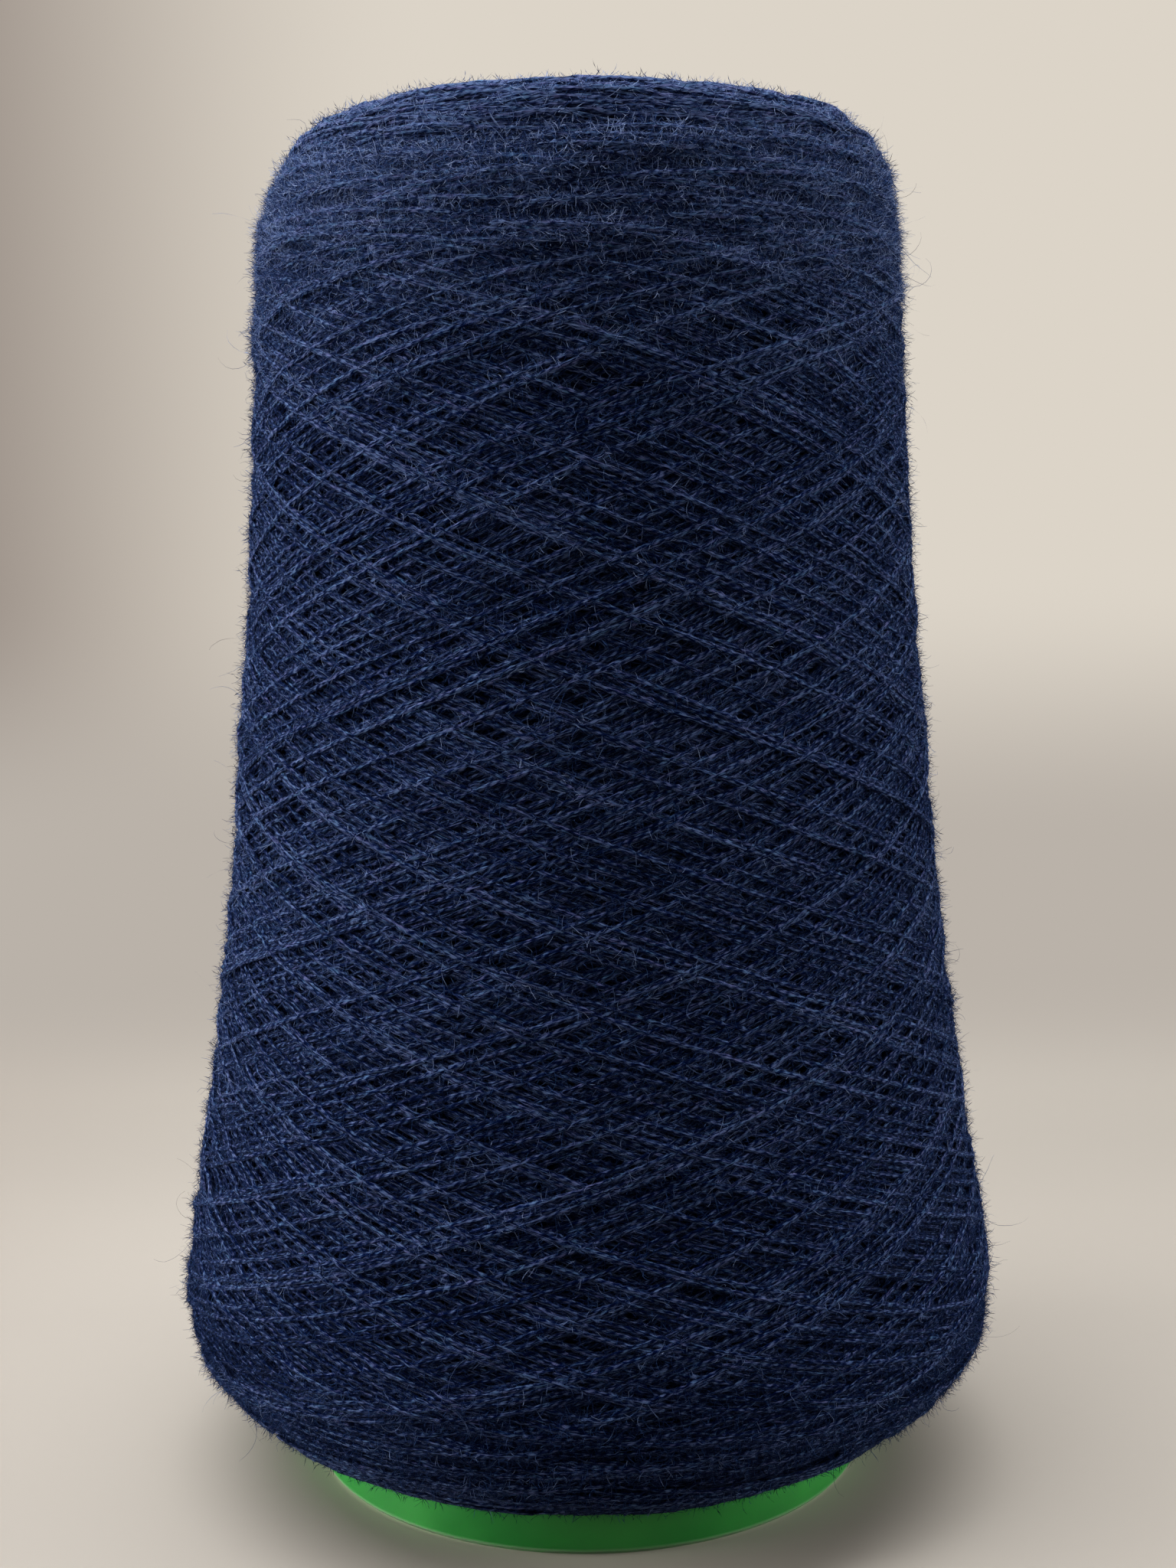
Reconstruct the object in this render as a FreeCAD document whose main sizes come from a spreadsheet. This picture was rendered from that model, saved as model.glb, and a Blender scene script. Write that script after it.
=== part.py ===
import FreeCAD, Part
import math
import os
import Sketcher

from FreeCAD import Placement, Rotation, Vector

# Cone of cross-wound yarn on a moulded plastic cone, standing on its base.
# Millimetres, +Z up, origin at the centre of the base ring.

os.makedirs("parts", exist_ok=True)
doc = FreeCAD.newDocument("YarnCone")

# Driving dimensions, one named cell each.
dimensions = [
    ("baseRadius", 34.5, "outside of the plastic cone at its base"),
    ("noseRadius", 17.3, "outside of the plastic cone at its nose, before the chamfer"),
    ("coneLength", 165.0, "base to nose, which gives the usual taper of 5 degrees 57 minutes"),
    ("wall", 1.8, "moulded wall, measured across the axis"),
    ("rimChamfer", 0.5, "broken outer edge of the base"),
    ("lipDepth", 3.2, "thickness of the lip at the nose"),
    ("pegRadius", 11.0, "hole through the lip for a peg"),
    ("noseChamfer", 1.2, "outer edge of the nose"),
    ("ribCount", 6, "stacking ribs under the lip"),
    ("ribLength", 22.0, "length of a stacking rib along the axis"),
    ("ribRunOut", 7.0, "length over which a rib runs out into the wall"),
    ("ribReach", 1.6, "how far a rib stands in from the wall"),
    ("ribThickness", 1.4, "thickness of a stacking rib"),
    ("slotWidth", 2.4, "slot in the base edge that holds the starting tail"),
    ("slotHeight", 3.0, "height of the tail slot"),
    ("yarnBottom", 4.4, "lowest turn above the base"),
    ("yarnLength", 159.2, "height of the package"),
    ("fitClearance", 0.15, "plastic cone to yarn, across the axis"),
    ("footRadius", 42.2, "package radius where the foot turns up"),
    ("footRise", 4.7, "package foot to the foot corner"),
    ("hipRadius", 45.9, "package radius between foot and belly"),
    ("hipRise", 8.6, "package foot to the hip corner"),
    ("bellyRadius", 47.1, "package radius at the belly"),
    ("bellyRise", 14.6, "package foot to the belly"),
    ("waistRadius", 39.3, "package radius where the side is most hollow"),
    ("waistRise", 77.6, "package foot to the waist"),
    ("shoulderRadius", 34.8, "package radius at the shoulder"),
    ("shoulderFall", 10.4, "package top to the shoulder"),
    ("crownRadius", 29.8, "package radius where the top face begins"),
    ("crownFall", 1.3, "package top to the edge of the top face"),
    ("strand", 1.2, "thickness of the yarn"),
    ("layClearance", 0.4, "underside of the outer winding to the layers below"),
    ("crossClearance", 0.5, "between strands where they pass over each other"),
    ("traverses", 3, "times the strand goes up and down again"),
    ("traverseTurns", 3.3333, "turns in going up and down once"),
    ("easeTurns", 0.25, "share of a turn in which the traverse slows to its reversal"),
    ("layerTurns", 0.13, "share of a turn each side of a reversal in which the strand changes layer"),
    ("lowReversal", 9.4, "package foot to the lower reversal"),
    ("highReversal", 7.0, "package top to the upper reversal"),
    ("tuckTurns", 0.06, "share of a turn by which both ends of the strand stop short"),
]
sheet = doc.addObject("Spreadsheet::Sheet", "Dims")
for row, (alias, value, note) in enumerate(dimensions, start=1):
    sheet.set(f"A{row}", alias)
    sheet.set(f"B{row}", str(value))
    sheet.set(f"C{row}", note)
    sheet.setAlias(f"B{row}", alias)
doc.recompute()
size = {alias: getattr(sheet, alias) for alias, value, note in dimensions}


def number(formula):
    # Value of a formula on the sheet's cells.
    return float(sheet.evalExpression(formula))


def newBody(label):
    body = doc.addObject("PartDesign::Body", label)
    body.Label = label
    body.Placement = Placement(Vector(0, 0, 0), Rotation())
    return body


def newSketch(body, name):
    # Sketch on the body's own XZ plane: across is the radius, up is the height.
    plane = next(item for item in body.Origin.OriginFeatures if item.Role == "XZ_Plane")
    sketch = body.newObject("Sketcher::SketchObject", name)
    sketch.AttachmentSupport = [(plane, "")]
    sketch.MapMode = "FlatFace"
    return sketch


def outline(sketch, corners):
    # Closed outline through named corners, each held across and up from the origin by the sheet.
    count = len(corners)
    places = [Vector(number(across), number(up), 0) for name, across, up in corners]
    for i in range(count):
        sketch.addGeometry(Part.LineSegment(places[i], places[(i + 1) % count]), False)
    for i in range(count):
        sketch.addConstraint(Sketcher.Constraint("Coincident", i, 2, (i + 1) % count, 1))
    for i, (name, across, up) in enumerate(corners):
        for kind, suffix, formula in (("DistanceX", "Across", across), ("DistanceY", "Up", up)):
            constraint = Sketcher.Constraint(kind, -1, 1, i, 1, number(formula))
            index = sketch.addConstraint(constraint)
            sketch.renameConstraint(index, name + suffix)
            sketch.setExpression(f"Constraints.{name}{suffix}", formula)
    doc.recompute()


def revolve(body, name, sketch):
    feature = body.newObject("PartDesign::Revolution", name)
    feature.Profile = sketch
    feature.ReferenceAxis = (sketch, ["V_Axis"])
    feature.Angle = 360
    doc.recompute()
    return feature


def chamferRound(body, name, base, radius, height, width):
    # Chamfers the round edge of this radius at this height.
    found = []
    for index, edge in enumerate(base.Shape.Edges, start=1):
        if isinstance(edge.Curve, Part.Circle):
            offRadius = abs(edge.Curve.Radius - radius)
            offHeight = abs(edge.Curve.Center.z - height)
            if offRadius < 1e-4 and offHeight < 1e-4:
                found.append(f"Edge{index}")
    feature = body.newObject("PartDesign::Chamfer", name)
    feature.Base = (base, found)
    feature.setExpression("Size", width)
    doc.recompute()
    return feature


def outside(height):
    # Radius of the plastic cone's outside at a height, as a formula on the sheet.
    return f"Dims.baseRadius - {height} * (Dims.baseRadius - Dims.noseRadius) / Dims.coneLength"


# Plastic cone: one thin-walled moulding, open at the base, with a lip at the nose.
cone = newBody("cone")
lipUnder = "(Dims.coneLength - Dims.lipDepth)"
wallSketch = newSketch(cone, "WallProfile")
outline(
    wallSketch,
    [
        ("baseOut", "Dims.baseRadius", "0"),
        ("noseOut", "Dims.noseRadius", "Dims.coneLength"),
        ("lipTop", "Dims.pegRadius", "Dims.coneLength"),
        ("lipUnder", "Dims.pegRadius", lipUnder),
        ("lipRoot", outside(lipUnder) + " - Dims.wall", lipUnder),
        ("baseIn", "Dims.baseRadius - Dims.wall", "0"),
    ],
)
wall = revolve(cone, "Wall", wallSketch)
rim = chamferRound(cone, "RimEdge", wall, size["baseRadius"], 0, "Dims.rimChamfer")
nose = chamferRound(cone, "NoseEdge", rim, size["noseRadius"], size["coneLength"], "Dims.noseChamfer")

# Stacking ribs keep nested cones from wedging; each runs out into the wall at its lower end.
ribFoot = f"({lipUnder} - Dims.ribLength)"
ribFull = f"({lipUnder} - Dims.ribLength + Dims.ribRunOut)"
ribHead = f"{lipUnder} + Dims.lipDepth / 2"
ribSketch = newSketch(cone, "RibProfile")
outline(
    ribSketch,
    [
        ("ribFoot", outside(ribFoot) + " - Dims.wall / 2", ribFoot),
        ("ribRoot", outside(lipUnder) + " - Dims.wall / 2", ribHead),
        ("ribTop", outside(lipUnder) + " - Dims.wall - Dims.ribReach", ribHead),
        ("ribFull", outside(ribFull) + " - Dims.wall - Dims.ribReach", ribFull),
    ],
)
rib = cone.newObject("PartDesign::Pad", "Rib")
rib.Profile = ribSketch
rib.SideType = "Symmetric"
rib.setExpression("Length", "Dims.ribThickness")
doc.recompute()
ribs = cone.newObject("PartDesign::PolarPattern", "Ribs")
ribs.Originals = [rib]
ribs.Axis = (ribSketch, ["V_Axis"])
ribs.Angle = 360
ribs.setExpression("Occurrences", "Dims.ribCount")
cone.Tip = ribs
doc.recompute()

# Tail slot in the base edge, at the back; it starts below the base, so that it opens downwards.
slotSketch = newSketch(cone, "SlotProfile")
outline(
    slotSketch,
    [
        ("slotLeftFoot", "Dims.slotWidth / -2", "Dims.slotHeight / -2"),
        ("slotRightFoot", "Dims.slotWidth / 2", "Dims.slotHeight / -2"),
        ("slotRightTop", "Dims.slotWidth / 2", "Dims.slotHeight"),
        ("slotLeftTop", "Dims.slotWidth / -2", "Dims.slotHeight"),
    ],
)
beforeSlot = ribs.Shape.Volume
slot = cone.newObject("PartDesign::Pocket", "TailSlot")
slot.Profile = slotSketch
slot.setExpression("Length", "Dims.baseRadius + Dims.wall")
doc.recompute()
slotCut = ribs.Shape.cut(slot.Shape).BoundBox
slotVolume = beforeSlot - slot.Shape.Volume
print(f"tail slot takes {slotVolume:.2f} cubic mm at y {slotCut.YMin:.1f} to {slotCut.YMax:.1f}")

# Inner layers of yarn: one plain solid round the cone, under the outer winding.
packFoot = "Dims.yarnBottom"
packTop = "(Dims.yarnBottom + Dims.yarnLength)"
layers = newBody("yarn_layers")
layerSketch = newSketch(layers, "PackageProfile")
outline(
    layerSketch,
    [
        ("boreFoot", outside(packFoot) + " + Dims.fitClearance", packFoot),
        ("foot", "Dims.footRadius", "Dims.yarnBottom + Dims.footRise"),
        ("hip", "Dims.hipRadius", "Dims.yarnBottom + Dims.hipRise"),
        ("belly", "Dims.bellyRadius", "Dims.yarnBottom + Dims.bellyRise"),
        ("waist", "Dims.waistRadius", "Dims.yarnBottom + Dims.waistRise"),
        ("shoulder", "Dims.shoulderRadius", packTop + " - Dims.shoulderFall"),
        ("crown", "Dims.crownRadius", packTop + " - Dims.crownFall"),
        ("boreHead", outside(packTop) + " + Dims.fitClearance", packTop),
    ],
)
package = revolve(layers, "Package", layerSketch)

# Outer winding: one strand laid to and fro over the package. Rising stretches lie on the inner layer
# and falling ones on the outer layer, so the strand passes over itself where it crosses.
strokeTurns = size["traverseTurns"] / 2
strokeCount = 2 * int(size["traverses"])
ease = size["easeTurns"]
change = size["layerTurns"]
lowHeight = size["yarnBottom"] + size["lowReversal"]
highHeight = number(packTop) - size["highReversal"]
innerLift = size["layClearance"] + size["strand"] / 2
layerStep = size["strand"] + size["crossClearance"]


def packageRadius(height):
    # Outside of the package at a height, read from the built solid.
    near = Vector(number(outside(str(height))), 0, height)
    far = Vector(size["baseRadius"] + size["bellyRadius"], 0, height)
    return max(vertex.X for vertex in layers.Shape.common(Part.makeLine(near, far)).Vertexes)


def riseShare(turn):
    # Share of the way up after part of a stroke: eased at both reversals and steady between them.
    steady = strokeTurns - ease
    if turn < ease:
        return turn**2 / (2 * ease * steady)
    if turn > strokeTurns - ease:
        return 1 - (strokeTurns - turn) ** 2 / (2 * ease * steady)
    return (turn - ease / 2) / steady


def layerShare(turn):
    # 0 on the inner layer and 1 on the outer one, changing smoothly about each reversal.
    stroke = round(turn / strokeTurns)
    share = (turn - stroke * strokeTurns + change) / (2 * change)
    share = min(max(share, 0), 1)
    smooth = share * share * (3 - 2 * share)
    return smooth if stroke % 2 else 1 - smooth


def strandPoint(turn):
    # Middle of the strand after a number of turns, counted from a lower reversal.
    stroke = math.floor(turn / strokeTurns)
    within = turn - stroke * strokeTurns
    share = riseShare(strokeTurns - within if stroke % 2 else within)
    height = lowHeight + (highHeight - lowHeight) * share
    radius = packageRadius(height) + innerLift + layerStep * layerShare(turn)
    angle = 2 * math.pi * turn
    return Vector(radius * math.cos(angle), radius * math.sin(angle), height)


def strandHeading(turn):
    small = 1e-4
    return (strandPoint(turn + small) - strandPoint(turn - small)).normalize()


def arcBetween(start, corner, end):
    # Arc that touches the lines from start to corner and from corner to end.
    middle = (start + end) * 0.5
    half = (end - start).Length / 2
    halfAngle = math.atan2((corner - middle).Length, half)
    top = middle + (corner - middle).normalize() * half * math.tan(halfAngle / 2)
    return Part.Arc(start, top, end)


def biarc(start, startHeading, end, endHeading):
    # Two arcs that leave the start and reach the end along the given headings.
    across = end - start
    spread = 2 * (1 - startHeading.dot(endHeading))
    reach = across.dot(startHeading + endHeading)
    length = (math.sqrt(reach**2 + spread * across.dot(across)) - reach) / spread
    firstCorner = start + startHeading * length
    lastCorner = end - endHeading * length
    joint = (firstCorner + lastCorner) * 0.5
    return [arcBetween(start, firstCorner, joint), arcBetween(joint, lastCorner, end)]


# Stations along the strand: about four to a turn, with a short step each side of a reversal.
turns = []
for stroke in range(strokeCount):
    start = stroke * strokeTurns + change
    end = (stroke + 1) * strokeTurns - change
    if stroke == 0:
        start = change + size["tuckTurns"]
    if stroke == strokeCount - 1:
        end = strokeCount * strokeTurns - change - size["tuckTurns"]
    steps = max(4, round((end - start) * 4))
    turns += [start + (end - start) * i / steps for i in range(steps + 1)]
    if stroke < strokeCount - 1:
        turns.append((stroke + 1) * strokeTurns)
points = [strandPoint(turn) for turn in turns]
headings = [strandHeading(turn) for turn in turns]

# Both ends run straight for one thickness.
headEnd = points[0] - headings[0] * size["strand"]
tailEnd = points[-1] + headings[-1] * size["strand"]
curves = [Part.LineSegment(headEnd, points[0])]
for i in range(len(points) - 1):
    curves += biarc(points[i], headings[i], points[i + 1], headings[i + 1])
curves.append(Part.LineSegment(points[-1], tailEnd))
path = doc.addObject("Part::Feature", "StrandPath")
path.Shape = Part.Wire([curve.toShape() for curve in curves])


def leastGap(wire, thickness):
    # Least gap of the strand to itself, on points half a millimetre apart along it.
    samples = wire.discretize(Distance=0.5)
    skipped = round(8 * thickness)
    cells = {}
    for index, point in enumerate(samples):
        key = (round(point.x / 3), round(point.y / 3), round(point.z / 3))
        cells.setdefault(key, []).append((index, point))
    least = math.inf
    for (x, y, z), held in cells.items():
        around = [(x + i, y + j, z + k) for i in (-1, 0, 1) for j in (-1, 0, 1) for k in (-1, 0, 1)]
        nearby = [entry for key in around for entry in cells.get(key, [])]
        for index, point in held:
            for otherIndex, other in nearby:
                if otherIndex - index > skipped:
                    least = min(least, (other - point).Length)
    return least - thickness


bends = [edge.Curve.Radius for edge in path.Shape.Edges if isinstance(edge.Curve, Part.Circle)]
toLayers = path.Shape.distToShape(layers.Shape)[0] - size["strand"] / 2
turnCount = turns[-1] - turns[0]
print(f"strand path: {path.Shape.Length:.0f} mm long, {turnCount:.1f} turns, {len(curves)} curves")
print(f"least gap of the strand to itself: {leastGap(path.Shape, size['strand']):.2f} mm")
print(f"least gap of the strand to the layers below: {toLayers:.2f} mm")
print(f"tightest bend radius: {min(bends):.1f} mm")

section = doc.addObject("Part::RegularPolygon", "StrandSection")
section.Polygon = 4
section.setExpression("Circumradius", "Dims.strand / 2")
section.Placement = Placement(headEnd, Rotation(Vector(0, 0, 1), headings[0]))
doc.recompute()
winding = doc.addObject("Part::Sweep", "yarn_winding")
winding.Label = "yarn_winding"
winding.Sections = [section]
winding.Spine = (path, [f"Edge{index}" for index in range(1, len(curves) + 1)])
winding.Solid = True
winding.Frenet = False
winding.Placement = Placement(Vector(0, 0, 0), Rotation())
doc.recompute()

# Nothing is written unless every object is sound.
failed = [item.Name for item in doc.Objects if {"Invalid", "Error"} & set(item.State)]
if failed:
    raise RuntimeError(f"not built: {failed}")
pieces = [cone, layers, winding]
for piece in pieces:
    if piece.Shape.isNull() or not piece.Shape.isValid() or len(piece.Shape.Solids) != 1:
        raise RuntimeError(f"bad solid: {piece.Label}")
for piece in pieces:
    box = piece.Shape.BoundBox
    print(
        f"{piece.Label}: {piece.Shape.Volume / 1000:.1f} cubic cm, {box.XLength:.1f} across,"
        f" from {box.ZMin:.1f} to {box.ZMax:.1f}"
    )
    piece.Shape.exportStep(f"parts/{piece.Label}.step")
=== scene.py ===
import math
import time

import bpy
import numpy as np
from mathutils import Matrix, Vector


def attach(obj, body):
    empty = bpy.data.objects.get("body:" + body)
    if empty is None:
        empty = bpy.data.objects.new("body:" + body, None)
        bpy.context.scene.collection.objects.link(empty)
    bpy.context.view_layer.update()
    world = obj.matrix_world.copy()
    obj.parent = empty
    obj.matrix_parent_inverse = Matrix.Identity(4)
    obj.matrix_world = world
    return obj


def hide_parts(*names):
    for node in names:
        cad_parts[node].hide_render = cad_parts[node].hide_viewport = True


# Cone of navy two-ply wool on a green moulded cone. Lengths are in millimetres and become
# metres where a mesh is made, unless a note says otherwise.
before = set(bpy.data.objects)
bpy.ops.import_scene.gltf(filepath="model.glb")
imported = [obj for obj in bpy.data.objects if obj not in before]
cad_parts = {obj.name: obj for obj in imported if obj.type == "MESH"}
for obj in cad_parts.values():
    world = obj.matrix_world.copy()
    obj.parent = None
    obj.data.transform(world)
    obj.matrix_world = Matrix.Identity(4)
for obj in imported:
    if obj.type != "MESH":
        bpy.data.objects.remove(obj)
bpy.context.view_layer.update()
startTime = time.time()
millimetre = 0.001
random = np.random.default_rng(7)


def report(stage):
    print(f"{stage} ({time.time() - startTime:.1f} s)")


# The yarn package, wound to and fro on the cone. A turn is one turn round the axis.
package = {
    # Outside of the package as radius and height, from the inner edge of the bottom face to
    # the inner edge of the top face.
    "outline": [
        (34.5, 4.9), (36.2, 5.8), (38.6, 7.1), (41.7, 8.8), (44.6, 10.9), (46.9, 13.2),
        (48.7, 15.8), (49.8, 18.5), (50.3, 21.6), (50.2, 25.0), (49.5, 30.0), (48.7, 34.7),
        (47.9, 39.5), (47.1, 44.2), (46.4, 49.0), (45.7, 54.0), (45.2, 58.5), (44.6, 63.0),
        (43.9, 68.0), (43.3, 73.0), (42.8, 78.0), (42.4, 83.0), (42.0, 89.0), (41.4, 95.0),
        (40.8, 101.0), (40.3, 107.0), (39.8, 113.0), (39.5, 119.0), (39.2, 126.0), (38.9, 133.0),
        (38.5, 140.0), (38.1, 147.0), (37.8, 151.5), (37.3, 155.0), (36.3, 158.2), (34.6, 160.9),
        (32.2, 162.6), (29.0, 163.4), (24.5, 163.8), (20.5, 163.9), (17.9, 163.8),
    ],
    "cell": 0.25,              # grid on which the height of the laid yarn is kept
    "cellsRound": 1152,        # cells to a turn
    "cornerBlur": 5,           # cells over which the outline's corners are rounded
    # The shoulder has sunk a little on its left side, from the height of foot upwards and
    # from the radius of inner outwards.
    "slump": {"depth": 1.8, "foot": 147, "rise": 11, "towards": (-0.94, -0.34), "curve": 1.5,
              "inner": 18, "reach": 16},
    # The traverse guides the yarn to and fro.
    "traverse": {
        "doubleStrokes": 430,      # times up and down
        "turnsPerSet": 17,         # turns in one set of double strokes; then the lay repeats
        "doublesPerSet": 5,
        "samples": 1400,           # to a stroke
        "lowEase": 0.30,           # turn over which it slows before it turns back
        "highEase": 0.46,
        "easeSpread": (0.75, 1.35),
        "lowBand": (0.8, 21.0),    # its reversals, along the outline from the bottom end
        "highBand": (1.0, 31.0),   # its reversals, along the outline from the top end
        "lowSpread": 1.1,          # how far one reversal strays
        "highSpread": 1.3,
        "lowLeast": 0.6,           # nearest to the ends that it turns back
        "highLeast": 0.7,
        "widening": 0.9,           # power by which the bands widen while the package grows
        "startSpread": 0.003,      # turn by which one stroke strays
        "bundles": (1, 2, 3, 3, 4, 6),   # strands side by side in a bundle, each as likely
        "bundleStep": 0.0072,      # turn between neighbours in a bundle
        "bundleStepSpread": (0.85, 1.2),
        "bundleSpread": 0.002,     # turn by which a bundle strays
        "goldenShare": 0.618034,   # step from bundle to bundle, which spreads them evenly
        "looseSets": 2,            # last sets, laid as single strands
    },
    # The strand, how it lies on the layers below and how it is drawn.
    "strand": {
        "width": 0.70,
        "flatness": 0.74,          # thickness over width of a strand under tension
        "step": 0.50,              # length of a tube segment
        "wander": ((34, 0.20), (6, 0.09)),   # length and size of its wandering sideways
        "wanderBlur": 4,           # segments
        "margin": 0.3,             # kept from both ends of the outline
        "linesAcross": 7,          # lines side by side in which it feels the pile
        "lineReach": 0.85,         # how far out the last of them lie, of its half width
        "sinkage": 0.42,           # share of its half width by which it beds into the layers below
        "rests": (0.5, 0.5),       # shares of the highest and of the mean that it rests on
        "span": 3.0,               # segments over which it bridges small hollows
        "pressDown": 0.4,          # share by which it presses down what stands proud under it
        "backShare": 0.9,          # how full its back stands on the pile
        "proud": 0.34,             # mean surface below the outline, which runs over proud strands
        "meanBlur": 12,            # cells over which that mean is taken
        "evening": (2.5, 0.85),    # width and share of the lumps that soft yarn evens out
        # Share of their depth that hollows keep and of their height that proud strands keep.
        "relief": (0.34, 0.75),
        "pressed": (0.40, 0.35),   # height over which tension holds it down, and share kept
        "bedBlur": 2,              # segments or cells over which it takes up an uneven bed
        "buried": 0.06,            # deeper under the others than this, it isn't drawn
        "buriedLine": 2,           # by which of its lines that is told, from the lowest up
        "leastRun": 8,             # segments of the shortest run that is drawn
        "overlap": 9,              # segments by which a run is longer than what shows
        "plyPitch": 2.4,           # one turn of the two plies
        "plyDepth": 0.16,          # how far the groove between them cuts in, of the half width
        "girth": 2.1,              # way round the strand
        "roughness": 0.12,         # spread of its thickness point by point
        "swell": (5, 0.10),        # length and size of its thicker and thinner places
        "tip": 0.04,               # size at the ends of a run, which lie under other strands
        # Share of the strokes, sides of their tubes, samples to a segment, share of the ply
        # groove: the outermost last.
        "detail": (
            {"upTo": 0.66, "sides": 3, "every": 3, "groove": 0.0},
            {"upTo": 0.84, "sides": 4, "every": 1, "groove": 0.8},
            {"upTo": 1.01, "sides": 5, "every": 1, "groove": 1.0},
        ),
        "facesPerPiece": 95000,
    },
    # Tone of each strand, which the wool turns to a shade: random, plus painted shade and light.
    "tone": {
        "middle": 0.5,
        "spread": 0.30,            # from strand to strand
        "proud": 0.36,             # painted shade: proud strands are paler and sunken ones darker, for each millimetre
        "paintedShadeRange": (-0.9, 0.6),
        "paintedShadeBlur": 1.5,          # segments
        "paintedNoseLight": 0.70,             # painted light: paler towards the nose
        "noseReach": 50,
        "paintedFootShade": 0.14,          # painted shade: darker over the foot
        "footReach": 50,
        "footEnd": 1.4,            # where that ends, in reaches from the bottom
    },
}
traverse, strand, toning = package["traverse"], package["strand"], package["tone"]
halfWidth = strand["width"] / 2
cell = package["cell"]


def smoothRow(values, width):
    # Running mean with soft shoulders; the ends are held.
    reach = int(width * 3)
    kernel = np.exp(-0.5 * (np.arange(-reach, reach + 1) / width) ** 2)
    padded = np.pad(values, reach, mode="edge")
    return np.convolve(padded, kernel / kernel.sum(), mode="valid")


outline = np.array(package["outline"])
alongOutline = np.concatenate([[0], np.cumsum(np.hypot(*np.diff(outline, axis=0).T))])
outlineLength = alongOutline[-1]
fineAlong = np.arange(0, outlineLength, cell)
fineRadius, fineHeight = (
    smoothRow(np.interp(fineAlong, alongOutline, values), package["cornerBlur"])
    for values in outline.T
)
slopeRadius, slopeHeight = (np.gradient(values, fineAlong) for values in (fineRadius, fineHeight))
slopeLength = np.hypot(slopeRadius, slopeHeight)
slopeRadius, slopeHeight = slopeRadius / slopeLength, slopeHeight / slopeLength


def onPackage(along, turn, lift):
    # Points, outward normals, directions along the outline and round the package.
    radius = np.interp(along, fineAlong, fineRadius)
    height = np.interp(along, fineAlong, fineHeight)
    up = np.interp(along, fineAlong, slopeHeight)
    out = np.interp(along, fineAlong, slopeRadius)
    cosine, sine = np.cos(2 * np.pi * turn), np.sin(2 * np.pi * turn)
    normal = np.stack([up * cosine, up * sine, -out], axis=1)
    climb = np.stack([out * cosine, out * sine, up], axis=1)
    around = np.stack([-sine, cosine, np.zeros_like(turn)], axis=1)
    slump = package["slump"]
    facing = cosine * slump["towards"][0] + sine * slump["towards"][1]
    sunk = np.clip((height - slump["foot"]) / slump["rise"], 0, 1) ** slump["curve"]
    sunk = sunk * np.clip(facing, 0, 1) ** slump["curve"]
    inwards = np.clip((radius - slump["inner"]) / slump["reach"], 0, 1)
    radius = radius - slump["depth"] * sunk * inwards
    point = np.stack([radius * cosine, radius * sine, height], axis=1) + normal * lift[:, None]
    return point, normal, climb, around


def travelShare(turn, turns, firstEase, lastEase):
    # Share of the way from one reversal to the next: eased at both ends.
    steady = turns - (firstEase + lastEase) / 2
    share = (turn - firstEase / 2) / steady
    early = turn < firstEase
    late = turn > turns - lastEase
    share[early] = turn[early] ** 2 / (2 * firstEase * steady)
    share[late] = 1 - (turns - turn[late]) ** 2 / (2 * lastEase * steady)
    return share


def setShifts(sets):
    # How far each set is shifted round: bundles of neighbours, spread evenly, so that every
    # place ends up with about as many layers.
    shifts = []
    bundle = 0
    while len(shifts) <= sets:
        shift = (bundle * traverse["goldenShare"] % 1) / traverse["doublesPerSet"]
        shift = shift + random.normal(0, traverse["bundleSpread"])
        loose = len(shifts) >= sets - traverse["looseSets"]
        for i in range(1 if loose else random.choice(traverse["bundles"])):
            spread = random.uniform(*traverse["bundleStepSpread"])
            shifts.append(shift + i * traverse["bundleStep"] * spread)
        bundle += 1
    return shifts


def bandPlace(band, done):
    # Where in its band the traverse turns back, once this share of the yarn is laid.
    return band[0] + (band[1] - band[0]) * done ** traverse["widening"]


def planStrokes():
    # Along and turn samples of each stroke, in the order in which the yarn is laid.
    count, perSet = traverse["doubleStrokes"], traverse["doublesPerSet"]
    shifts = setShifts(count // perSet + 2)
    starts = []
    for k in range(count + 1):
        j, part = divmod(k, perSet)
        change = (shifts[j + 1] - shifts[j] + 0.5 / perSet) % (1 / perSet) - 0.5 / perSet
        drift = shifts[j] + change * part / perSet
        even = k * traverse["turnsPerSet"] / perSet
        starts.append(even + drift + random.normal(0, traverse["startSpread"]))
    strokes = []
    low = traverse["lowBand"][0]
    for k in range(count):
        high = outlineLength - bandPlace(traverse["highBand"], (k + 0.5) / count)
        high = high + random.normal(0, traverse["highSpread"])
        high = min(high, outlineLength - traverse["highLeast"])
        nextLow = bandPlace(traverse["lowBand"], (k + 1.5) / count)
        nextLow = max(nextLow + random.normal(0, traverse["lowSpread"]), traverse["lowLeast"])
        half = (starts[k + 1] - starts[k]) / 2
        turn = np.linspace(0, half, traverse["samples"])
        lowEase = traverse["lowEase"] * random.uniform(*traverse["easeSpread"])
        highEase = traverse["highEase"] * random.uniform(*traverse["easeSpread"])
        rising = low + (high - low) * travelShare(turn, half, lowEase, highEase)
        falling = high + (nextLow - high) * travelShare(turn, half, highEase, lowEase)
        strokes.append((rising, turn + starts[k]))
        strokes.append((falling, turn + starts[k] + half))
        low = nextLow
    return strokes


def resample(along, turn, step):
    # Samples an even step apart along the laid strand.
    radius = np.interp(along, fineAlong, fineRadius)
    moved = np.hypot(np.diff(along), np.diff(turn) * 2 * np.pi * (radius[1:] + radius[:-1]) / 2)
    length = np.concatenate([[0], np.cumsum(moved)])
    even = np.linspace(0, length[-1], max(int(length[-1] / step), 2))
    return np.interp(even, length, along), np.interp(even, length, turn), even


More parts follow.
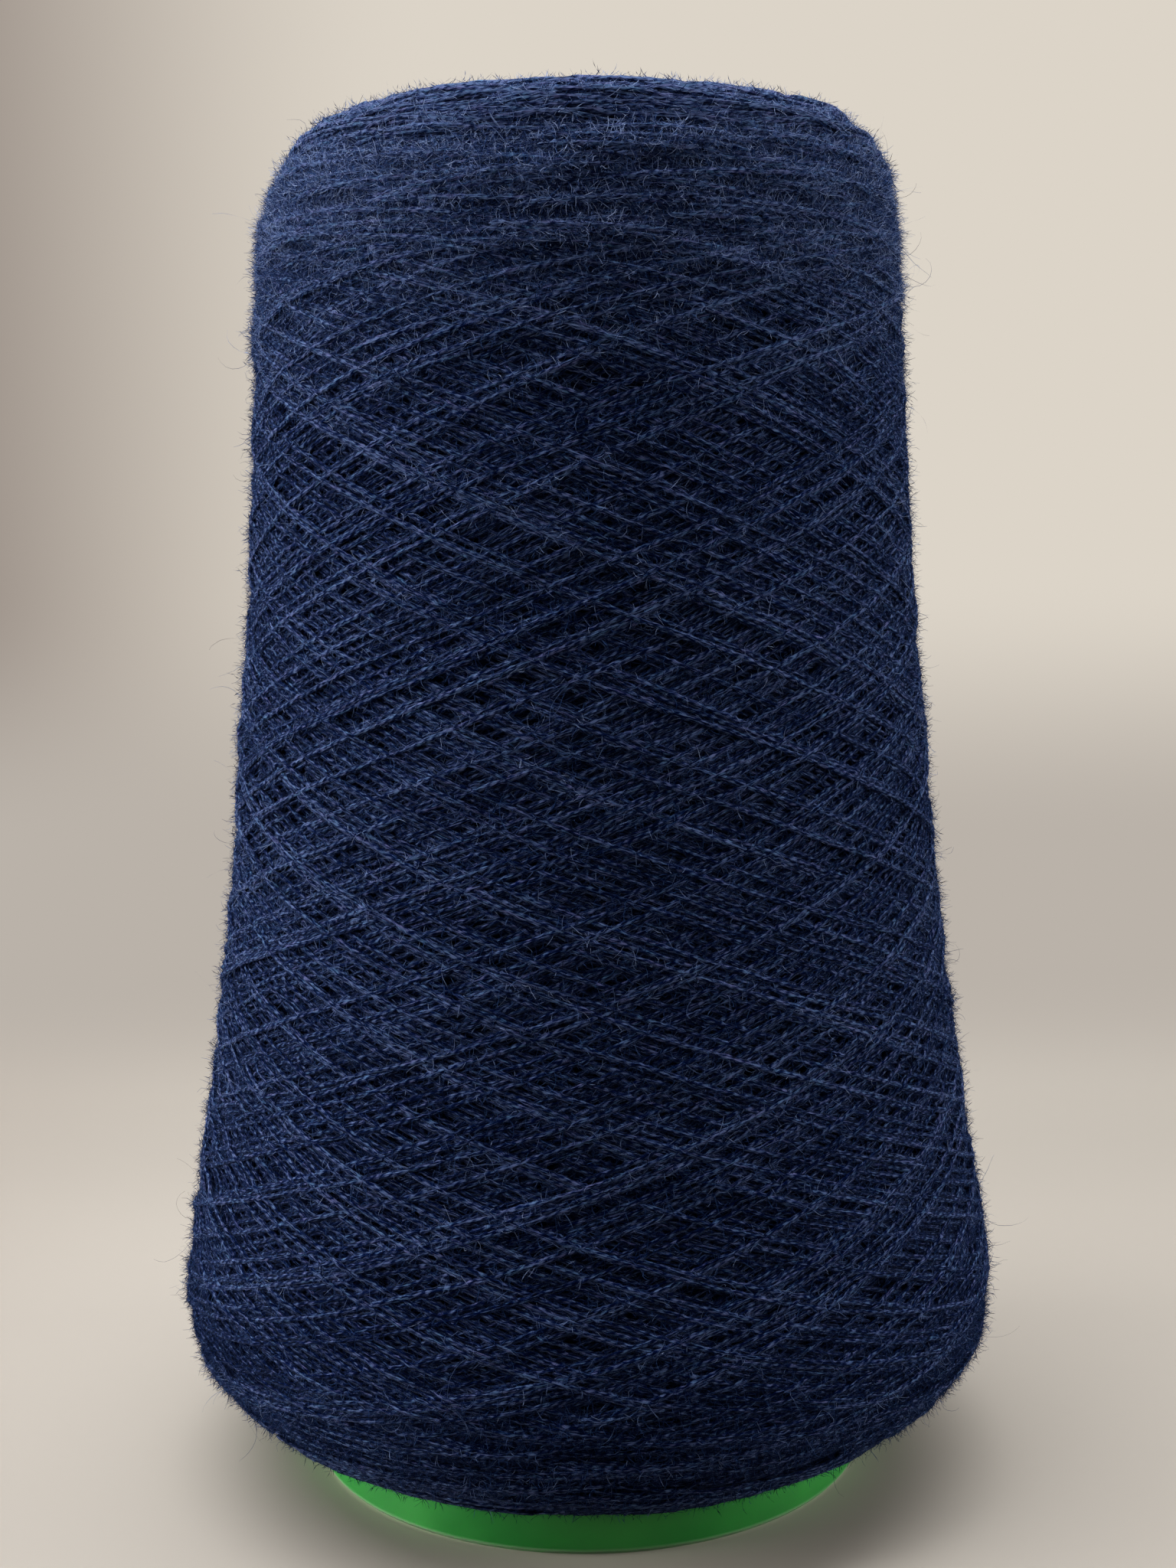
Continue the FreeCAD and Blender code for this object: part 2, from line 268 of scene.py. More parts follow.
cellsAlong = int(outlineLength / cell) + 2
pile = np.zeros((cellsAlong, package["cellsRound"]), np.float32)   # height of the yarn laid so far


def cellsOf(along, turn):
    row = np.clip((along / cell).round().astype(int), 0, cellsAlong - 1)
    return row, (turn * package["cellsRound"]).round().astype(int) % package["cellsRound"]


def footprint(along, turn):
    # Cells under the strand, in lines side by side, and how high its round back stands there.
    radius = np.interp(along, fineAlong, fineRadius)
    slopeAlong = np.gradient(along)
    slopeRound = np.gradient(turn) * 2 * np.pi * radius
    length = np.maximum(np.hypot(slopeAlong, slopeRound), 1e-9)
    sideAlong, sideTurn = slopeRound / length, -slopeAlong / length / (2 * np.pi * radius)
    reach = strand["lineReach"]
    for offset in np.linspace(-reach, reach, strand["linesAcross"]) * halfWidth:
        cells = cellsOf(along + sideAlong * offset, turn + sideTurn * offset)
        yield cells, math.sqrt(halfWidth**2 - offset**2)


def waver(count, step, length, size):
    # Smooth random wandering with a given wavelength.
    knots = random.normal(0, size, int(count * step / length) + 4)
    return np.interp(np.arange(count) * step / length, np.arange(len(knots)), knots)


laid = []
travelled = 0.0
for along, turn in planStrokes():
    along, turn, length = resample(along, turn, strand["step"])
    sway = sum(waver(len(along), strand["step"], *wander) for wander in strand["wander"])
    along = along + smoothRow(sway, strand["wanderBlur"])
    along = np.clip(along, strand["margin"], outlineLength - strand["margin"])
    lines = list(footprint(along, turn))
    under = np.stack([pile[cells] for cells, back in lines])
    rest = strand["rests"][0] * under.max(axis=0) + strand["rests"][1] * under.mean(axis=0)
    bridged = smoothRow(rest, strand["span"])   # a taut strand spans the small hollows
    lowered = (1 - strand["pressDown"]) * rest + strand["pressDown"] * bridged
    middle = np.maximum(bridged, lowered) + halfWidth * (1 - strand["sinkage"])
    for cells, back in lines:
        top = middle + back * strand["backShare"]
        np.maximum.at(pile, cells, top.astype(np.float32))
    laid.append((along, turn, middle, travelled + length))
    travelled += length[-1]


def blurred(field, width):
    # Two-way soft blur of the pile, closed round the package.
    mirrored = np.concatenate([field, field[::-1]])
    waves = np.fft.fftfreq(mirrored.shape[0]), np.fft.rfftfreq(field.shape[1])
    wave = np.hypot(*np.meshgrid(*waves, indexing="ij"))
    spectrum = np.fft.rfft2(mirrored) * np.exp(-2 * (np.pi * wave * width) ** 2)
    return np.fft.irfft2(spectrum, mirrored.shape)[:len(field)]


meanPile = smoothRow(pile.mean(axis=1), strand["meanBlur"])
lumps = blurred(pile, strand["evening"][0] / cell) - meanPile[:, None]
evened = strand["evening"][1] * lumps
report(f"wound {travelled / 1000:.0f} m, pile {pile.mean():.1f} mm, relief {pile.std():.2f} mm")


def settled(lift):
    # Height over the mean surface once the soft yarn has bedded in.
    lift = lift * np.where(lift < 0, *strand["relief"])
    limit, share = strand["pressed"]
    return np.where(lift > limit, limit + share * (lift - limit), lift)


def nearNose(along):
    # 1 at the nose end of the outline, falling to 0 below the shoulder.
    return np.clip(1 - (outlineLength - along) / toning["noseReach"], 0, 1)


def nearFoot(along):
    # Where the painted shade lies: 1 over the foot, falling to 0 up the package.
    return np.clip(toning["footEnd"] - along / toning["footReach"], 0, 1)


def shownRuns(shown):
    # First and last index of each stretch of shown samples, a little longer than what shows.
    grown = np.convolve(shown, np.ones(strand["overlap"]), mode="same") > 0
    edges = np.flatnonzero(np.diff(np.concatenate([[0], grown.astype(int), [0]])))
    return [(a, b) for a, b in zip(edges[::2], edges[1::2]) if b - a >= strand["leastRun"]]


runs = []
for strokeIndex, (along, turn, middle, length) in enumerate(laid):
    over = np.sort(np.stack([pile[cells] for cells, back in footprint(along, turn)]), axis=0)
    buried = over[strand["buriedLine"]] - (middle + halfWidth)
    tone = random.uniform(0, 1)
    level = next(
        i for i, detail in enumerate(strand["detail"]) if strokeIndex < detail["upTo"] * len(laid)
    )
    bed = smoothRow(evened[cellsOf(along, turn)], strand["bedBlur"])
    lift = middle - np.interp(along, np.arange(cellsAlong) * cell, meanPile)
    height = settled(lift - bed)
    radius = np.interp(along, fineAlong, fineRadius)
    aim = np.arctan2(np.gradient(along), np.gradient(turn) * 2 * np.pi * radius)
    # Painted shade and light in the tone: proud strands paler, sunken ones darker, paler towards
    # the nose, darker over the foot.
    paintedHeightShade = np.clip(smoothRow(height, toning["paintedShadeBlur"]), *toning["paintedShadeRange"])
    shade = toning["middle"] + toning["spread"] * (tone - 0.5) + toning["proud"] * paintedHeightShade
    shade += toning["paintedNoseLight"] * nearNose(along) - toning["paintedFootShade"] * nearFoot(along)
    whole = {"along": along, "turn": turn, "lift": height - strand["proud"], "length": length,
             "tone": shade, "aim": aim}
    for a, b in shownRuns(buried < strand["buried"]):
        kept = np.unique(np.append(np.arange(a, b, strand["detail"][level]["every"]), b - 1))
        run = {key: values[kept] for key, values in whole.items()}
        runs.append(run | {"level": level})
shownLength = sum(run["length"][-1] - run["length"][0] for run in runs)
report(f"{len(runs)} runs of strand show, {shownLength / 1000:.0f} m")


def linearColour(code):
    # sRGB hex to linear RGBA.
    parts = [int(code[i:i + 2], 16) / 255 for i in (1, 3, 5)]
    linear = [c / 12.92 if c <= 0.04045 else ((c + 0.055) / 1.055) ** 2.4 for c in parts]
    return (*linear, 1.0)


def addNode(tree, kind, settings=None, links=None, stops=()):
    # Adds a node; settings go to its sockets or its own fields, links join its inputs, and
    # stops are the positions and colours of a ramp.
    node = tree.nodes.new(kind)
    for name, value in (settings or {}).items():
        if isinstance(name, str) and hasattr(node, name):
            setattr(node, name, value)
        else:
            node.inputs[name].default_value = value
    for name, socket in (links or {}).items():
        tree.links.new(socket, node.inputs[name])
    for position, code in stops[1:-1]:
        node.color_ramp.elements.new(position)
    for i, (position, code) in enumerate(stops):
        node.color_ramp.elements[i].position = position
        node.color_ramp.elements[i].color = linearColour(code)
    return node


def newMaterial(name):
    material = bpy.data.materials.new(name)
    material.use_nodes = True
    material.node_tree.nodes.clear()
    return material, material.node_tree


def meshPiece(name, points, faces, material):
    mesh = bpy.data.meshes.new(name)
    mesh.from_pydata(points * millimetre, [], faces)
    mesh.shade_smooth()
    mesh.materials.append(material)
    piece = bpy.data.objects.new(name, mesh)
    bpy.context.scene.collection.objects.link(piece)
    return piece


def addTone(mesh, values):
    attribute = mesh.attributes.new("tone", "FLOAT", "POINT")
    attribute.data.foreach_set("value", values.astype(np.float32))


# Woollen-spun wool, two-ply, dyed in the yarn: matt and hairy, with painted shade between the plies
# and on the strand's flanks, and a pale sheen where the light grazes the loose fibres.
wool = {
    "shades": ((0.30, "#00020E"), (0.53, "#021846"), (0.74, "#7287AC")),
    # The dyed lots mixed in the yarn lean to teal and to violet.
    "tints": ((0.36, "#CCF2FF"), (0.64, "#FADCFA")),
    "lotLength": 5.0,      # size of a patch of one lot on the strand
    "lotWidth": 2.1,
    "fibreLength": 1.3,    # size of the pattern of fibres on the strand
    "fibreWidth": 0.20,    # real fibres are about 0.03 mm, too fine to show, so these are coarser
    # What adds up to the shade, from which the colour is taken.
    "darken": -0.45,
    "toneShare": 0.25,     # the strand's own tone
    "paintedPlyShade": 0.08,      # painted shade: dark line in the groove between the plies, also a bump
    "backShare": 0.14,     # painted shade: the back is paler than the flanks, which lie in their neighbours' shade; also a bump
    "fibreShare": 1.45,
    "bump": 0.2,           # height between the darkest and the palest
    "roughness": 0.82,
    "ior": 1.54,
    "sheen": "#8196C8",
    "sheenWeight": 0.36,
    "sheenRoughness": 0.40,
}


def woolMaterial():
    material, tree = newMaterial("woollen spun two-ply wool, navy dyed")
    place = addNode(tree, "ShaderNodeUVMap", {"uv_map": "strand"}).outputs["UV"]
    scales = (
        (1 / wool["fibreLength"], 1 / wool["fibreWidth"], 1),
        (1 / wool["lotLength"], 1 / wool["lotWidth"], 1),
    )
    stretched = [
        addNode(tree, "ShaderNodeMapping", {"Scale": scale}, {"Vector": place}).outputs["Vector"]
        for scale in scales
    ]
    fibres = addNode(
        tree, "ShaderNodeTexNoise", {"Scale": 1.0, "Detail": 3.0, "Roughness": 0.6},
        {"Vector": stretched[0]},
    )
    lots = addNode(
        tree, "ShaderNodeTexNoise", {"Scale": 1.0, "Detail": 4.0, "Roughness": 0.75},
        {"Vector": stretched[1]},
    )
    tone = addNode(tree, "ShaderNodeAttribute", {"attribute_name": "tone"})
    # Waves over the strand's own length and girth, for the painted shade: the groove winds round
    # it, the flanks don't.
    aroundOnce = 2 * math.pi / strand["girth"]
    waves = []
    for direction in (
        (-4 * math.pi / strand["plyPitch"], 2 * aroundOnce, 0), (0, aroundOnce, 0),
    ):
        phase = addNode(
            tree, "ShaderNodeVectorMath", {"operation": "DOT_PRODUCT", 1: direction}, {0: place},
        )
        wave = addNode(
            tree, "ShaderNodeMath", {"operation": "COSINE"}, {0: phase.outputs["Value"]},
        )
        waves.append(wave.outputs["Value"])
    # The shade adds up from the tone, the painted shade of the groove and the flanks, and the
    # fibres; it also drives the bump.
    shade = addNode(
        tree, "ShaderNodeMath",
        {"operation": "MULTIPLY_ADD", 1: wool["toneShare"], 2: wool["darken"]},
        {0: tone.outputs["Fac"]},
    )
    for share, socket in (
        (wool["paintedPlyShade"], waves[0]), (wool["backShare"], waves[1]),
        (wool["fibreShare"], fibres.outputs["Fac"]),
    ):
        shade = addNode(
            tree, "ShaderNodeMath", {"operation": "MULTIPLY_ADD", 1: share},
            {0: socket, 2: shade.outputs["Value"]},
        )
    colour = addNode(
        tree, "ShaderNodeValToRGB", {}, {"Fac": shade.outputs["Value"]}, wool["shades"],
    )
    tint = addNode(tree, "ShaderNodeValToRGB", {}, {"Fac": lots.outputs["Fac"]}, wool["tints"])
    tinted = addNode(
        tree, "ShaderNodeMix", {"data_type": "RGBA", "blend_type": "MULTIPLY", 0: 1.0},
        {6: colour.outputs["Color"], 7: tint.outputs["Color"]},
    )
    bump = addNode(
        tree, "ShaderNodeBump", {"Strength": 1.0, "Distance": wool["bump"] * millimetre},
        {"Height": shade.outputs["Value"]},
    )
    surface = addNode(
        tree, "ShaderNodeBsdfPrincipled",
        {"Roughness": wool["roughness"], "IOR": wool["ior"], "Specular IOR Level": 0.0,
         "Sheen Weight": wool["sheenWeight"], "Sheen Roughness": wool["sheenRoughness"],
         "Sheen Tint": linearColour(wool["sheen"])},
        {"Base Color": tinted.outputs[2], "Normal": bump.outputs["Normal"]},
    )
    addNode(tree, "ShaderNodeOutputMaterial", {}, {"Surface": surface.outputs["BSDF"]})
    return material


woolMat = woolMaterial()


def strandMesh(name, detail, held):
    # One closed tube for each run, with the travelling groove of two plies.
    sides, grooveDepth = detail["sides"], detail["groove"] * strand["plyDepth"]
    sideAngle = 2 * np.pi * (np.arange(sides) / sides + 0.25)   # the first is on the strand's back
    points, quads, uvs, tones = [], [], [], []
    base = 0
    for run in held:
        count = len(run["along"])
        centre, normal, climb, around = onPackage(run["along"], run["turn"], run["lift"])
        heading = np.gradient(centre, axis=0)
        heading /= np.linalg.norm(heading, axis=1)[:, None]
        side = np.cross(heading, normal)
        side /= np.linalg.norm(side, axis=1)[:, None]
        upward = np.cross(side, heading)
        ply = 2 * np.pi * run["length"] / strand["plyPitch"]
        groove = 1 + grooveDepth * np.cos(2 * (sideAngle[None, :] - ply[:, None]))
        rough = 1 + strand["roughness"] * random.normal(0, 1, (count, sides))
        swell = 1 + waver(count, strand["step"], *strand["swell"])
        size = halfWidth * groove * rough * swell[:, None]
        size[[0, -1]] *= strand["tip"]
        ring = centre[:, None, :] + size[:, :, None] * (
            np.cos(sideAngle)[None, :, None] * side[:, None, :]
            + strand["flatness"] * np.sin(sideAngle)[None, :, None] * upward[:, None, :]
        )
        points.append(ring.reshape(-1, 3))
        index = base + np.arange(count * sides).reshape(count, sides)
        turned = np.roll(index, -1, axis=1)
        wall = np.stack([index[:-1], turned[:-1], turned[1:], index[1:]], axis=2)
        quads.append(wall.reshape(-1, 4))
        u = np.broadcast_to(run["length"][:, None], (count, sides))
        v = np.broadcast_to(np.arange(sides) * (strand["girth"] / sides), (count, sides))
        vNext = v + strand["girth"] / sides
        corners = np.stack([
            np.stack([u[:-1], v[:-1]], axis=2), np.stack([u[:-1], vNext[:-1]], axis=2),
            np.stack([u[1:], vNext[1:]], axis=2), np.stack([u[1:], v[1:]], axis=2),
        ], axis=2)
        uvs.append(corners.reshape(-1, 2))
        tones.append(np.repeat(run["tone"], sides))
        base += count * sides
    piece = meshPiece(name, np.concatenate(points), np.concatenate(quads), woolMat)
    layer = piece.data.uv_layers.new(name="strand")
    layer.uv.foreach_set("vector", np.concatenate(uvs).astype(np.float32).ravel())
    addTone(piece.data, np.concatenate(tones))
    return piece


strandPieces = []
for level, detail in enumerate(strand["detail"]):
    group, faces = [], 0
    for run in [run for run in runs if run["level"] == level] + [None]:
        if run is None or faces + len(run["along"]) * detail["sides"] > strand["facesPerPiece"]:
            name = f"yarn_strands_{len(strandPieces) + 1:02d}"
            strandPieces.append(strandMesh(name, detail, group))
            group, faces = [], 0
        if run is not None:
            group.append(run)
            faces += len(run["along"]) * detail["sides"]
faces = sum(len(piece.data.polygons) for piece in strandPieces)
report(f"{len(strandPieces)} pieces of strand, {faces} faces")

# Inner yarn as one closed body that follows the wound layers, a little below the strands on
# them, and lies against the plastic cone inside.
core = {
    "depth": 0.42,             # below the middle of the strands
    "rowStep": 3,              # cells to one of its faces, along and round the package
    "columnStep": 4,
    "heights": (161.5, 120, 80, 40, 6.5),   # rings down the inside
    "coneRadius": 34.5,        # plastic cone at its base
    "coneTaper": 0.1041,       # radius that it loses for each mm up
    "clearance": 0.2,
    "grainRadius": 40,         # on which its fibres are laid out
    # painted shade: the inner body has a darker tone than the strands on it
    "tone": 0.25,
}


def bodyUnder():
    surface = settled(blurred(pile - meanPile[:, None] - evened, strand["bedBlur"]))
    surface = surface[::core["rowStep"], ::core["columnStep"]]
    rows, sides = surface.shape
    along = np.minimum(np.arange(rows) * core["rowStep"] * cell, fineAlong[-1])
    turn = np.tile(np.arange(sides) / sides, rows)
    lift = surface.ravel() - strand["proud"] - core["depth"]
    outside = onPackage(np.repeat(along, sides), turn, lift)[0]
    angle = 2 * np.pi * np.arange(sides) / sides
    inside = []
    for height in core["heights"]:
        radius = core["coneRadius"] - core["coneTaper"] * height + core["clearance"]
        ring = [radius * np.cos(angle), radius * np.sin(angle), np.full(sides, height)]
        inside.append(np.stack(ring, axis=1))
    points = np.concatenate([outside] + inside)
    index = np.arange(len(points)).reshape(-1, sides)
    up = np.roll(index, -1, axis=0)
    quads = np.stack([index, np.roll(index, -1, axis=1), np.roll(up, -1, axis=1), up], axis=2)
    quads = quads.reshape(-1, 4)
    piece = meshPiece("yarn_inside", points, quads, woolMat)
    layer = piece.data.uv_layers.new(name="strand")
    corner = points[quads.ravel()]
    girth = np.arctan2(corner[:, 1], corner[:, 0]) * core["grainRadius"]
    flat = np.stack([girth, corner[:, 2]], axis=1)
    layer.uv.foreach_set("vector", flat.astype(np.float32).ravel())
    addTone(piece.data, np.full(len(points), core["tone"]))
    return piece


yarnInside = bodyUnder()

# Loose fibres of the same wool: matt, and light from behind comes through them, so that they
# lie as a soft haze over the strands and round the outline. Real ones are about 0.03 mm thick;
# these are a little wider, so that they show. rise is how far they stand off, fan how far they
# turn from the strand's own direction, curl their bend for each millimetre, dull how few of
# them are pale. A strip has one point to a row, on alternate sides.
fuzz = {
    "kinds": {
        # short fibres that lie along the strands and blur their edges
        "nap": {"count": 200000, "length": (0.8, 2.4), "width": 0.055, "rise": 0.60,
                "fan": 0.75, "curl": 0.65, "parts": 6, "strip": True, "dull": 1.3},
        # short ones that stand off it all over
        "down": {"count": 300000, "length": (0.6, 1.6), "width": 0.045, "rise": 1.3,
                 "fan": 1.3, "curl": 0.35, "parts": 3, "strip": True, "dull": 1.2},
        # longer curled ones that stand off the surface
        "halo": {"count": 85000, "length": (0.8, 2.3), "width": 0.050, "rise": 1.5,
                 "fan": 1.2, "curl": 1.0, "parts": 3, "strip": False, "dull": 0.35},
        # a few long ones
        "wisps": {"count": 1300, "length": (3.0, 8.0), "width": 0.040, "rise": 0.8,
                  "fan": 1.2, "curl": 0.45, "parts": 9, "strip": False, "dull": 0.6},
    },
    "perPiece": 34000,
    "deepShare": 4,            # every fourth piece of nap grows on the layers below
    "shoulders": (2.5, 3.6),   # how much denser they stand at the foot and the nose
    "footReach": 30,
    "sideways": 1.3,           # how far round the strand they are rooted, radians
    "seat": 0.92,              # share of the half width at which they are rooted
    "riseCurve": 1.8,          # most lie low
    "dip": 0.05,               # and the lowest start inwards by this, radians
    "flatCurl": 0.8,           # they curl along the surface rather than away from it
    "curlSpread": (0.3, 1.3),
    "kink": 0.08,              # random change of direction from part to part
    "facing": (0.3, 1.0),      # how much a ribbon faces outwards
    "facingAxis": 0.5,         # and how much it faces the way about which it curls
    "taper": ((0, 0.6, 1), (1, 0.95, 0.4)),   # places along a fibre and its share of width there
    "paintedFibreNoseLight": 0.65,         # painted light: how much paler they are towards the nose
    "fromStrand": (0.55, 0.6, 0.3),   # tone that the strand gives, with its painted shade and light: base, share and least
    "shades": ((0.0, "#020920"), (0.35, "#0D2048"), (0.55, "#263565"), (0.75, "#34548C"),
               (1.0, "#A2B6E2")),
    "roughness": 0.6,
    "specular": 0.03,
    "sheenWeight": 0.3,
    "through": 0.5,            # share of the light that comes through
}


def fibreMaterial():
    material, tree = newMaterial("loose wool fibre, navy dyed")
    tone = addNode(tree, "ShaderNodeAttribute", {"attribute_name": "tone"})
    colour = addNode(
        tree, "ShaderNodeValToRGB", {}, {"Fac": tone.outputs["Fac"]}, fuzz["shades"],
    )
    surface = addNode(
        tree, "ShaderNodeBsdfPrincipled",
        {"Roughness": fuzz["roughness"], "IOR": wool["ior"],
         "Specular IOR Level": fuzz["specular"], "Sheen Weight": fuzz["sheenWeight"],
         "Sheen Tint": linearColour(wool["sheen"])},
        {"Base Color": colour.outputs["Color"]},
    )
    through = addNode(tree, "ShaderNodeBsdfTranslucent", {}, {"Color": colour.outputs["Color"]})
    both = addNode(
        tree, "ShaderNodeMixShader", {0: fuzz["through"]},
        {1: surface.outputs["BSDF"], 2: through.outputs["BSDF"]},
    )
    addNode(tree, "ShaderNodeOutputMaterial", {}, {"Surface": both.outputs["Shader"]})
    return material


fibreMat = fibreMaterial()


def rootsOf(wanted):
    # Samples of the shown strands, more of them at the foot and the nose: along, turn, lift,
    # direction and tone, with the running sum by which they are drawn.
    roots = np.concatenate([
        np.stack([run[key] for key in ("along", "turn", "lift", "aim", "tone")], axis=1)[2:-2]
        for run in runs if run["level"] in wanted
    ])
    roots[:, 1] %= 1
    low = fuzz["shoulders"][0] * np.clip(1 - roots[:, 0] / fuzz["footReach"], 0, 1)
    high = fuzz["shoulders"][1] * nearNose(roots[:, 0])
    weight = np.cumsum(1 + low + high)
    return roots, weight / weight[-1]


outerRoots, deepRoots = rootsOf((1, 2)), rootsOf((0,))


def unit(vectors):
    return vectors / np.linalg.norm(vectors, axis=1)[:, None]


def fibreMesh(name, kind, count, source):
    # Curled ribbons that start on the strands.
    parts = kind["parts"]
    roots, weight = source
    along, turn, lift, aim, tone = roots[np.searchsorted(weight, random.uniform(0, 1, count))].T
    point, normal, climb, around = onPackage(along, turn, lift)
    aim = aim[:, None]
    forward = np.cos(aim) * around + np.sin(aim) * climb
    beside = np.cos(aim) * climb - np.sin(aim) * around
    roundStrand = random.uniform(-fuzz["sideways"], fuzz["sideways"], count)[:, None]
    outward = np.cos(roundStrand) * normal * strand["flatness"] + np.sin(roundStrand) * beside
    point = point + outward * halfWidth * fuzz["seat"]
    turnAway = random.normal(0, kind["fan"], count)[:, None]
    turnAway = turnAway + np.pi * random.integers(0, 2, count)[:, None]
    rise = kind["rise"] * random.uniform(0, 1, count) ** fuzz["riseCurve"] - fuzz["dip"]
    rise = rise[:, None]
    flat = np.cos(turnAway) * forward + np.sin(turnAway) * beside
    heading = unit(flat * np.cos(rise) + outward * np.sin(rise))
    length = random.uniform(*kind["length"], count)
    axis = random.normal(0, 1, (count, 3))
    axis = unit(axis + fuzz["flatCurl"] * normal * random.choice([-1, 1], count)[:, None])
    bend = kind["curl"] * random.uniform(*fuzz["curlSpread"], count) * length / parts
    bend = bend[:, None]
    rows, headings = [point], [heading]
    for i in range(parts):
        heading = heading * np.cos(bend) + np.cross(axis, heading) * np.sin(bend)
        heading = unit(heading + random.normal(0, fuzz["kink"], (count, 3)))
        rows.append(rows[-1] + heading * (length / parts)[:, None])
        headings.append(heading)
    path = np.stack(rows, axis=1)
    face = normal * random.uniform(*fuzz["facing"], count)[:, None] + axis * fuzz["facingAxis"]
    across = np.cross(np.stack(headings, axis=1), face[:, None, :])
    across /= np.maximum(np.linalg.norm(across, axis=2), 1e-6)[:, :, None]
    taper = np.interp(np.arange(parts + 1) / parts, *fuzz["taper"])[None, :, None]
    across *= taper * kind["width"] / 2
    if kind["strip"]:
        points = path + across * np.where(np.arange(parts + 1) % 2, -1, 1)[None, :, None]
        index = np.arange(count * (parts + 1)).reshape(count, parts + 1)
        faces = np.stack([
            index[:, [i, i + 1, i + 2] if i % 2 == 0 else [i + 1, i, i + 2]]
            for i in range(parts - 1)
        ], axis=1).reshape(-1, 3)
    else:
        points = np.stack([path - across, path + across], axis=2)
        index = np.arange(count * (parts + 1) * 2).reshape(count, parts + 1, 2)
        corners = [index[:, :-1, 0], index[:, :-1, 1], index[:, 1:, 1], index[:, 1:, 0]]
        faces = np.stack(corners, axis=2).reshape(-1, 4)
    piece = meshPiece(name, points.reshape(-1, 3), faces, fibreMat)
    # Tone: random, times the strand's tone with its painted shade and light, paler towards the nose
    # as painted light.
    base, share, least = fuzz["fromStrand"]
    dull = kind["dull"] * (1 - fuzz["paintedFibreNoseLight"] * nearNose(along))
    tones = random.uniform(0, 1, count) ** dull * np.clip(base + share * tone, least, 1)
    addTone(piece.data, np.repeat(tones, len(piece.data.vertices) // count))
    return piece


fibrePieces = []
for kindName, kind in fuzz["kinds"].items():
    groups = math.ceil(kind["count"] / fuzz["perPiece"])
    for i in range(groups):
        source = deepRoots if kindName == "nap" and i % fuzz["deepShare"] == 0 else outerRoots
        name = f"yarn_{kindName}_{i + 1}"
        fibrePieces.append(fibreMesh(name, kind, kind["count"] // groups, source))
triangles = sum(
    len(piece.data.loops) - 2 * len(piece.data.polygons) for piece in strandPieces + fibrePieces
)
report(f"{len(fibrePieces)} pieces of fibre, {triangles / 1e6:.2f} million triangles in all")

for piece in strandPieces + [yarnInside] + fibrePieces:
    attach(piece, "root")
    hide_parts("yarn_layers", "yarn_winding")

# Polypropylene, injection moulded, tinted green in the mass: satin, slightly see-through, so
# light gets into the wall; the thin foot of the rim is painted paler, a painted highlight.
plastic = {
    "greens": ((0.35, "#2A963E"), (0.7, "#46BA52")),
    "cloud": 16.67,            # size of the clouds in the melt
    # painted highlight along the foot of the rim
    "lip": "#A0E29E",
    "lipHeights": (0.3, 0.8),  # over which the painted highlight turns to the colour of the wall
    "grain": 0.4545,           # size of the mould's grain
    "grainStrength": 0.08,
    "grainDepth": 0.1,
    "roughness": 0.32,
    "ior": 1.49,
    "lightInside": {"Subsurface Weight": 0.8, "Subsurface Scale": 0.006,   # metres
                    "Subsurface Radius": (0.4, 1.0, 0.5)},
}


def plasticMaterial():
    material, tree = newMaterial("injection moulded polypropylene, green")
    place = addNode(tree, "ShaderNodeTexCoord").outputs["Object"]
    cloud, grain = (
        addNode(
            tree, "ShaderNodeTexNoise", {"Scale": 1 / (size * millimetre), "Detail": 2.0},
            {"Vector": place},
        )
        for size in (plastic["cloud"], plastic["grain"])
    )
    colour = addNode(
        tree, "ShaderNodeValToRGB", {}, {"Fac": cloud.outputs["Fac"]}, plastic["greens"],
    )
    at = addNode(tree, "ShaderNodeSeparateXYZ", {}, {"Vector": place})
    low, high = (height * millimetre for height in plastic["lipHeights"])
    above = addNode(
        tree, "ShaderNodeMapRange", {"From Min": low, "From Max": high},
        {"Value": at.outputs["Z"]},
    )
    lipped = addNode(
        tree, "ShaderNodeMix", {"data_type": "RGBA", 6: linearColour(plastic["lip"])},
        {0: above.outputs["Result"], 7: colour.outputs["Color"]},
    )
    bump = addNode(
        tree, "ShaderNodeBump",
        {"Strength": plastic["grainStrength"], "Distance": plastic["grainDepth"] * millimetre},
        {"Height": grain.outputs["Fac"]},
    )
    surface = addNode(
        tree, "ShaderNodeBsdfPrincipled",
        {"Roughness": plastic["roughness"], "IOR": plastic["ior"]} | plastic["lightInside"],
        {"Base Color": lipped.outputs[2], "Normal": bump.outputs["Normal"]},
    )
    addNode(tree, "ShaderNodeOutputMaterial", {}, {"Surface": surface.outputs["BSDF"]})
    return material


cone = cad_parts["cone"]
cone.data.materials.clear()
cone.data.materials.append(plasticMaterial())
report("cone dressed")

